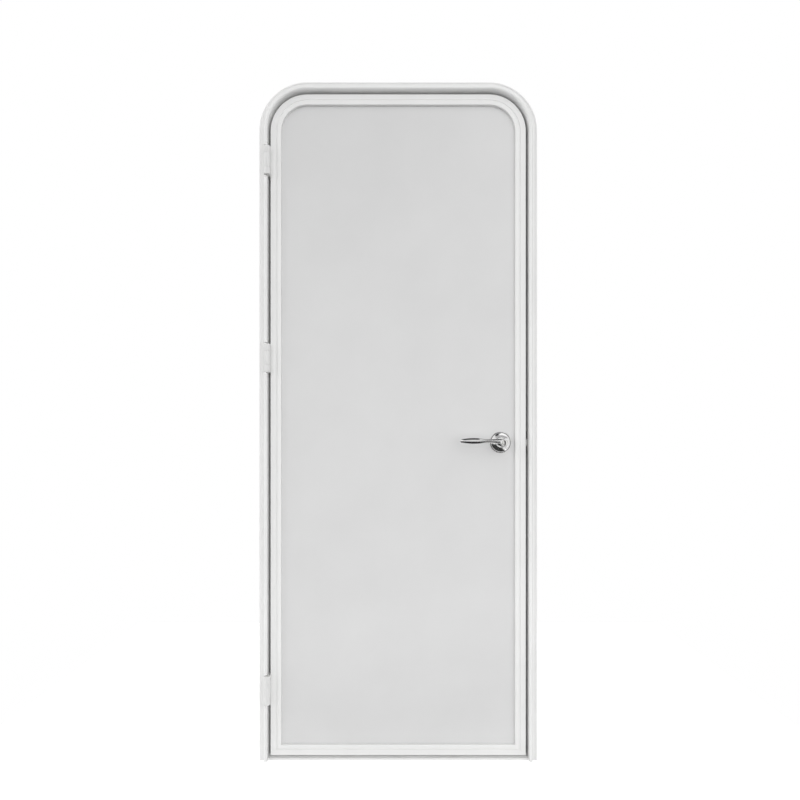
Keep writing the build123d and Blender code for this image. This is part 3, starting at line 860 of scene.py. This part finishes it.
# Painted shade: the faces inside the keyway get a near-black material in place of the shade in the
# slot.
keyway_painted_shade = plated_steel("keyway_painted_shade", (0.02, 0.02, 0.02), roughness=0.6, grain=(900, 900, 900))
plug.data.materials.clear()
plug.data.materials.append(plug_brushed)
plug.data.materials.append(keyway_painted_shade)
for face in plug.data.polygons:
    inside = face.center.xy.length < plug_radius - plug_round
    face.material_index = int(inside and plug_back + mm < face.center.z < plug_front - 0.1 * mm)
plug.data.transform(outer_lock)
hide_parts("key_plug")
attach(plug, "key_cylinder")
dressed(lock_bright, "turn_button")
edge_softened(0.35 * mm, "turn_button")


# Studio: a plain pale floor and a white surround, with soft lamps on all sides and overhead.
# Glowing sheets, dark and pale, level overhead and just above the floor, show in the bright metal
# alone: painted reflections, not lamps.
# Lamps are given by strength, by bearing from the front and by height, both in degrees.
lamp_spread = math.radians(60)
soft_lamps = (
    ("left_lamp", 1.3, -75, 13),
    ("right_lamp", 1.0, 45, 15),
    ("front_lamp", 0.92, 0, 12),
    ("top_lamp", 0.45, 0, 75),
    ("back_left_lamp", 1.3, -140, 20),
    ("back_right_lamp", 1.1, 140, 20),
)
for name, energy, azimuth, height in soft_lamps:
    lamp_data = bpy.data.lights.new(name, "SUN")
    lamp_data.energy = energy
    lamp_data.angle = lamp_spread
    lamp = bpy.data.objects.new(name, lamp_data)
    turn, lift = math.radians(azimuth), math.radians(height)
    source = Vector((math.sin(turn) * math.cos(lift), -math.cos(turn) * math.cos(lift), math.sin(lift)))
    lamp.rotation_euler = source.to_track_quat("Z", "Y").to_euler()
    lamp.visible_glossy = False
    bpy.context.scene.collection.objects.link(lamp)


def by_ray(nodes, links, spread, mirrored, seen):
    """Level for light spread on the object, one for what a mirror shows and one for what is seen."""
    ray = nodes.new("ShaderNodeLightPath")
    mirror = nodes.new("ShaderNodeMath")
    mirror.operation = "MAXIMUM"
    links.new(ray.outputs["Is Glossy Ray"], mirror.inputs[0])
    links.new(ray.outputs["Is Transmission Ray"], mirror.inputs[1])
    unseen = nodes.new("ShaderNodeMapRange")
    unseen.inputs["To Min"].default_value = spread
    unseen.inputs["To Max"].default_value = mirrored
    links.new(mirror.outputs["Value"], unseen.inputs["Value"])
    level = nodes.new("ShaderNodeMapRange")
    level.inputs["To Max"].default_value = seen
    links.new(ray.outputs["Is Camera Ray"], level.inputs["Value"])
    links.new(unseen.outputs["Result"], level.inputs["To Min"])
    return level.outputs["Result"]


def sheet(name, height, corners):
    """Level sheet with corners in X and Y at a height."""
    mesh = bmesh.new()
    mesh.faces.new([mesh.verts.new((x, y, height)) for x, y in corners])
    return piece_of(name, mesh)


floor_x, floor_y = 1.2, 1.1
floor_corners = ((-floor_x, -floor_y), (floor_x, -floor_y), (floor_x, floor_y), (-floor_x, floor_y))
floor = sheet("floor", 0, floor_corners)
floor_paint, nodes, links, main = shader("floor_paint")
main.inputs["Base Color"].default_value = (0.85, 0.85, 0.85, 1)
main.inputs["Roughness"].default_value = 1
main.inputs["Specular IOR Level"].default_value = 0
main.inputs["Emission Color"].default_value = (1, 1, 1, 1)
links.new(by_ray(nodes, links, 0, 0.5, 0.5), main.inputs["Emission Strength"])
floor.data.materials.append(floor_paint)

ceiling = 2.6
underfoot = 0.002
for name, level, height, corners in (
    (
        "reflected_underfoot", 0.05, underfoot,
        ((-4, -6.5), (0.35, -6.5), (0.35, -3.2), (0.9, -3.2), (0.9, -0.15), (-4, -0.15)),
    ),
    (
        "reflected_overhead", 0.04, ceiling,
        ((-0.7, -3.2), (0.36, -3.2), (0.36, -1.2), (0.6, -1.2), (0.6, 1), (-0.7, 1)),
    ),
    (
        "reflected_right", 1.2, ceiling,
        ((0.36, -3.2), (2.5, -3.2), (2.5, 1), (0.6, 1), (0.6, -1.2), (0.36, -1.2)),
    ),
    ("reflected_beyond", 0.5, ceiling, ((-0.8, -8), (4, -8), (4, -3.2), (-0.8, -3.2))),
):
    # Each sheet glows at its own uneven level and is seen only in reflections, as a painted reflection.
    reflection_sheet = sheet(name, height, corners)
    reflection_glow, nodes, links, main = shader(name)
    main.inputs["Base Color"].default_value = (0, 0, 0, 1)
    main.inputs["Roughness"].default_value = 1
    main.inputs["Specular IOR Level"].default_value = 0
    main.inputs["Emission Color"].default_value = (1, 1, 1, 1)
    links.new(patchy(nodes, links, 3, 0.8 * level, 1.2 * level), main.inputs["Emission Strength"])
    reflection_sheet.data.materials.append(reflection_glow)
    reflection_sheet.visible_camera = False
    reflection_sheet.visible_diffuse = False
    reflection_sheet.visible_shadow = False

world = bpy.data.worlds.new("surround")
bpy.context.scene.world = world
world.use_nodes = True
nodes, links = world.node_tree.nodes, world.node_tree.links
nodes["Background"].inputs["Color"].default_value = (1, 1, 1, 1)
links.new(by_ray(nodes, links, 0.25, 0.95, 1), nodes["Background"].inputs["Strength"])

picture_side = 800
camera_away, camera_height = 1.55, 0.889
camera_data = bpy.data.cameras.new("camera")
camera_data.sensor_width = 36
camera_data.lens = 25.8
camera_data.shift_x = 1.8 / picture_side
camera_data.shift_y = 31 / picture_side
camera = bpy.data.objects.new("camera", camera_data)
camera.location = (0, -camera_away, camera_height)
camera.rotation_euler = (math.radians(90), 0, 0)
bpy.context.scene.collection.objects.link(camera)
bpy.context.scene.camera = camera
bpy.context.scene.view_settings.view_transform = "Standard"
